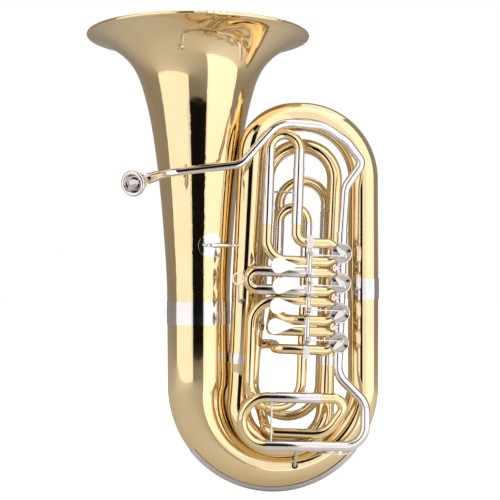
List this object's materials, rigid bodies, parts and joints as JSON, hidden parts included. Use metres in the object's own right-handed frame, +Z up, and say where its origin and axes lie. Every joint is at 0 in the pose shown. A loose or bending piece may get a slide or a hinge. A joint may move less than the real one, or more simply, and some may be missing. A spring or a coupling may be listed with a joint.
{
  "type": "tuba",
  "caption": "Upright rotary-valve bass tuba: flared bell, large tapered bow and branches, leaning rotary valve section with levers, links, tuning slides and removable mouthpiece.",
  "frame": {"origin": "lowest point of the bottom bow's guard plate, in the mid plane of the large bow", "axes": "+Z up along the bell's axis, +X from the bell towards the valves, -Y towards the player's levers"},
  "size_m": [0.5821, 0.4463, 0.91],
  "materials": {
    "lacquered_brass": "polished, clear lacquer",
    "nickel_silver": "polished nickel silver",
    "bare_brass": "machined",
    "spring_steel": "drawn wire",
    "cork": "matt neoprene bumper"
  },
  "bodies": {
    "instrument": {"bell": "lacquered_brass", "bell_ferrule": "nickel_silver", "bottom_bow": "lacquered_brass", "bow_guard": "nickel_silver", "branch_ferrule": "nickel_silver", "first_branch": "lacquered_brass", "branch_bands": "nickel_silver", "second_bow": "lacquered_brass", "second_branch": "lacquered_brass", "return_branch": "lacquered_brass", "main_slide_sleeves": "nickel_silver", "valve_outlet": "nickel_silver", "leadpipe": "nickel_silver", "mouthpiece_receiver": "nickel_silver", "valve_casing_1": "nickel_silver", "valve_casing_2": "nickel_silver", "valve_casing_3": "nickel_silver", "valve_casing_4": "nickel_silver", "valve_caps": "nickel_silver", "stop_corks": "cork", "knuckles": "nickel_silver", "valve_1_tubing": "lacquered_brass", "valve_2_tubing": "lacquered_brass", "valve_3_tubing": "lacquered_brass", "valve_4_tubing": "lacquered_brass", "valve_slide_sleeves": "nickel_silver", "hinge_rod": "nickel_silver", "lever_brackets": "nickel_silver", "lever_springs": "spring_steel", "water_key_seat": "nickel_silver", "thumb_ring": "nickel_silver", "braces": "nickel_silver"},
    "main_slide": {"main_slide_legs": "nickel_silver", "main_slide_crook": "lacquered_brass"},
    "mouthpiece_body": {"mouthpiece": "nickel_silver"},
    "water_key_lever": {"water_key": "nickel_silver"},
    "valve_slide_1": {"valve_1_slide_legs": "nickel_silver", "valve_1_crook": "lacquered_brass"},
    "lever_body_1": {"lever_1": "nickel_silver"},
    "rotor_body_1": {"rotor_1": "bare_brass", "stop_arm_1": "nickel_silver"},
    "link_body_1": {"link_rod_1": "nickel_silver"},
    "valve_slide_2": {"valve_2_slide_legs": "nickel_silver", "valve_2_crook": "lacquered_brass"},
    "lever_body_2": {"lever_2": "nickel_silver"},
    "rotor_body_2": {"rotor_2": "bare_brass", "stop_arm_2": "nickel_silver"},
    "link_body_2": {"link_rod_2": "nickel_silver"},
    "valve_slide_3": {"valve_3_slide_legs": "nickel_silver", "valve_3_crook": "lacquered_brass"},
    "lever_body_3": {"lever_3": "nickel_silver"},
    "rotor_body_3": {"rotor_3": "bare_brass", "stop_arm_3": "nickel_silver"},
    "link_body_3": {"link_rod_3": "nickel_silver"},
    "valve_slide_4": {"valve_4_slide_legs": "nickel_silver", "valve_4_crook": "lacquered_brass"},
    "lever_body_4": {"lever_4": "nickel_silver"},
    "rotor_body_4": {"rotor_4": "bare_brass", "stop_arm_4": "nickel_silver"},
    "link_body_4": {"link_rod_4": "nickel_silver"}
  },
  "joints": [
    {"name": "lever_1_press", "type": "hinge", "parent": "instrument", "child": "lever_body_1", "pos_m": [0.06524, -0.088, 0.39214], "axis": [0.0349, 0, 0.9994], "range_deg": [-26.76, 0], "stiffness_Nm_per_rad": 0.08, "springref_deg": 25.78},
    {"name": "rotor_1_turn", "type": "hinge", "parent": "instrument", "child": "rotor_body_1", "pos_m": [0.12938, -0.066, 0.47545], "axis": [0, 1, 0], "range_deg": [0, 90.1]},
    {"name": "link_1_pivot", "type": "hinge", "parent": "rotor_body_1", "child": "link_body_1", "pos_m": [0.13429, -0.11, 0.47018], "axis": [0, 1, 0], "range_deg": [-90.1, 0]},
    {"name": "lever_2_press", "type": "hinge", "parent": "instrument", "child": "lever_body_2", "pos_m": [0.06524, -0.088, 0.39214], "axis": [0.0349, 0, 0.9994], "range_deg": [-26.76, 0], "stiffness_Nm_per_rad": 0.08, "springref_deg": 25.78},
    {"name": "rotor_2_turn", "type": "hinge", "parent": "instrument", "child": "rotor_body_2", "pos_m": [0.1274, -0.066, 0.41848], "axis": [0, 1, 0], "range_deg": [0, 90.1]},
    {"name": "link_2_pivot", "type": "hinge", "parent": "rotor_body_2", "child": "link_body_2", "pos_m": [0.13231, -0.11, 0.41322], "axis": [0, 1, 0], "range_deg": [-90.1, 0]},
    {"name": "lever_3_press", "type": "hinge", "parent": "instrument", "child": "lever_body_3", "pos_m": [0.06524, -0.088, 0.39214], "axis": [0.0349, 0, 0.9994], "range_deg": [-26.76, 0], "stiffness_Nm_per_rad": 0.08, "springref_deg": 25.78},
    {"name": "rotor_3_turn", "type": "hinge", "parent": "instrument", "child": "rotor_body_3", "pos_m": [0.1254, -0.066, 0.36152], "axis": [0, 1, 0], "range_deg": [-90.1, 0]},
    {"name": "link_3_pivot", "type": "hinge", "parent": "rotor_body_3", "child": "link_body_3", "pos_m": [0.13067, -0.11, 0.36643], "axis": [0, 1, 0], "range_deg": [0, 90.1]},
    {"name": "lever_4_press", "type": "hinge", "parent": "instrument", "child": "lever_body_4", "pos_m": [0.06524, -0.088, 0.39214], "axis": [0.0349, 0, 0.9994], "range_deg": [-26.76, 0], "stiffness_Nm_per_rad": 0.08, "springref_deg": 25.78},
    {"name": "rotor_4_turn", "type": "hinge", "parent": "instrument", "child": "rotor_body_4", "pos_m": [0.12342, -0.066, 0.30455], "axis": [0, 1, 0], "range_deg": [-90.1, 0]},
    {"name": "link_4_pivot", "type": "hinge", "parent": "rotor_body_4", "child": "link_body_4", "pos_m": [0.12868, -0.11, 0.30946], "axis": [0, 1, 0], "range_deg": [0, 90.1]},
    {"name": "valve_slide_1_pull", "type": "slide", "parent": "instrument", "child": "valve_slide_1", "axis": [0.0349, 0, 0.9994], "range_m": [0, 0.06]},
    {"name": "valve_slide_2_pull", "type": "slide", "parent": "instrument", "child": "valve_slide_2", "axis": [-0.9994, 0, 0.0349], "range_m": [0, 0.03]},
    {"name": "valve_slide_3_pull", "type": "slide", "parent": "instrument", "child": "valve_slide_3", "axis": [0.0349, 0, 0.9994], "range_m": [0, 0.05]},
    {"name": "valve_slide_4_pull", "type": "slide", "parent": "instrument", "child": "valve_slide_4", "axis": [0.0349, 0, 0.9994], "range_m": [0, 0.05]},
    {"name": "main_slide_pull", "type": "slide", "parent": "instrument", "child": "main_slide", "axis": [-0.9999, 0, 0.014], "range_m": [0, 0.06]},
    {"name": "mouthpiece_pull", "type": "slide", "parent": "instrument", "child": "mouthpiece_body", "axis": [-0.3999, -0.8898, -0.2199], "range_m": [0, 0.04]},
    {"name": "water_key_press", "type": "hinge", "parent": "instrument", "child": "water_key_lever", "pos_m": [0.12616, -0.088, 0.09262], "axis": [0, 1, 0], "range_deg": [0, 3.5], "stiffness_Nm_per_rad": 0.03, "springref_deg": -14.32}
  ],
  "couplings": [
    {"joint": "rotor_1_turn", "follows": "lever_1_press", "ratio": -3.3631},
    {"joint": "link_1_pivot", "follows": "lever_1_press", "ratio": 3.3631},
    {"joint": "rotor_2_turn", "follows": "lever_2_press", "ratio": -3.3631},
    {"joint": "link_2_pivot", "follows": "lever_2_press", "ratio": 3.3631},
    {"joint": "rotor_3_turn", "follows": "lever_3_press", "ratio": 3.3631},
    {"joint": "link_3_pivot", "follows": "lever_3_press", "ratio": -3.3631},
    {"joint": "rotor_4_turn", "follows": "lever_4_press", "ratio": 3.3631},
    {"joint": "link_4_pivot", "follows": "lever_4_press", "ratio": -3.3631}
  ]
}
